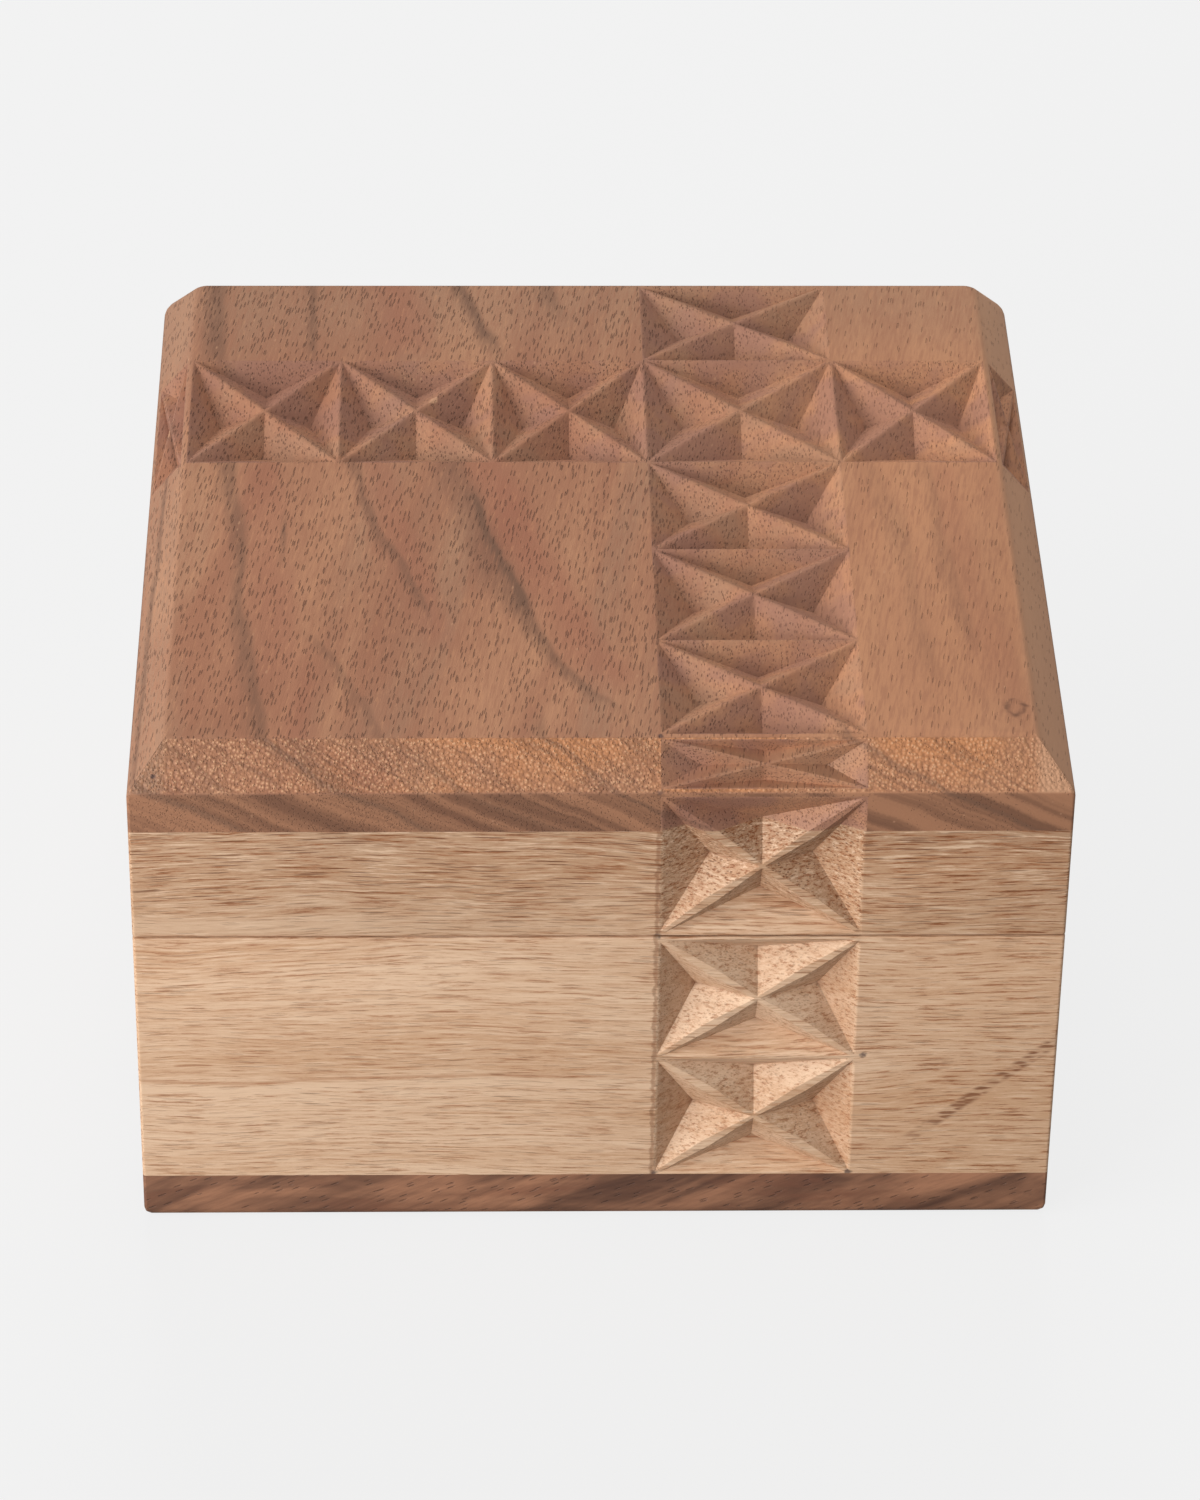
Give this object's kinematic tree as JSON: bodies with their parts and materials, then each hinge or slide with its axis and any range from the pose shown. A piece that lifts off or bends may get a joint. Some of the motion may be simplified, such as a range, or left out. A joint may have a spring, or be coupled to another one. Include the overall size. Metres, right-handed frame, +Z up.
{
  "type": "wooden puzzle box",
  "caption": "Square wooden puzzle box with a bevelled dark top, light walls and a chip-carved ribbon; a hidden wedge lock frees a swivelling lid.",
  "frame": {"origin": "middle of the underside", "axes": "+Z up; -Y towards the front that the picture shows; +X to the right seen from the front"},
  "size_m": [0.12, 0.12, 0.0752],
  "materials": {
    "top_heartwood": "hand-rubbed wax on reddish brown open-pored heartwood",
    "base_heartwood": "hand-rubbed wax on dark brown heartwood",
    "wall_wood": "fine-sanded, lightly waxed light tan wood",
    "inner_wood": "bare planed and sawn pale wood",
    "dowel_wood": "turned and burnished hardwood"
  },
  "bodies": {
    "case": {"base_board": "base_heartwood", "panel_stop_peg": "dowel_wood", "front_wall": "wall_wood", "right_wall": "wall_wood", "back_wall": "wall_wood", "left_wall": "wall_wood", "wedge_guide_front": "inner_wood", "wedge_guide_rear": "inner_wood", "floor_cleat_left": "inner_wood", "floor_cleat_right": "inner_wood", "floor_cleat_back": "inner_wood", "inner_floor": "inner_wood", "pivot_post": "inner_wood", "lock_post": "inner_wood", "case_block_front_left": "inner_wood", "case_block_front_right": "inner_wood", "case_block_back_right": "inner_wood"},
    "lid": {"lid_top_board": "top_heartwood", "lid_front_rail": "wall_wood", "lid_right_rail": "wall_wood", "lid_back_rail": "wall_wood", "lid_left_rail": "wall_wood", "lid_block_front_left": "inner_wood", "lid_block_front_right": "inner_wood", "lid_block_back_right": "inner_wood", "lid_pivot_block": "inner_wood", "lid_stop_peg": "dowel_wood", "lock_cheek_left": "inner_wood", "lock_cheek_right": "inner_wood", "pivot_dowel": "dowel_wood", "pivot_collar": "dowel_wood", "collar_cross_pin": "dowel_wood"},
    "wedge": {"lock_wedge": "dowel_wood", "lock_button": "dowel_wood"},
    "pin": {"lock_pin": "dowel_wood"},
    "panel": {"base_panel": "base_heartwood"}
  },
  "joints": [
    {"name": "lid_swivel", "type": "hinge", "parent": "case", "child": "lid", "pos_m": [-0.04, 0.04, 0.0469], "axis": [0, 0, 1], "range_deg": [0, 129]},
    {"name": "wedge_slide", "type": "slide", "parent": "case", "child": "wedge", "axis": [1, 0, 0], "range_m": [0, 0.0125]},
    {"name": "pin_lift", "type": "slide", "parent": "case", "child": "pin", "axis": [0, 0, 1], "range_m": [0, 0.005]},
    {"name": "panel_slide", "type": "slide", "parent": "case", "child": "panel", "axis": [-1, 0, 0], "range_m": [0, 0.036]}
  ],
  "couplings": [
    {"joint": "pin_lift", "follows": "wedge_slide", "ratio": 0.4}
  ]
}
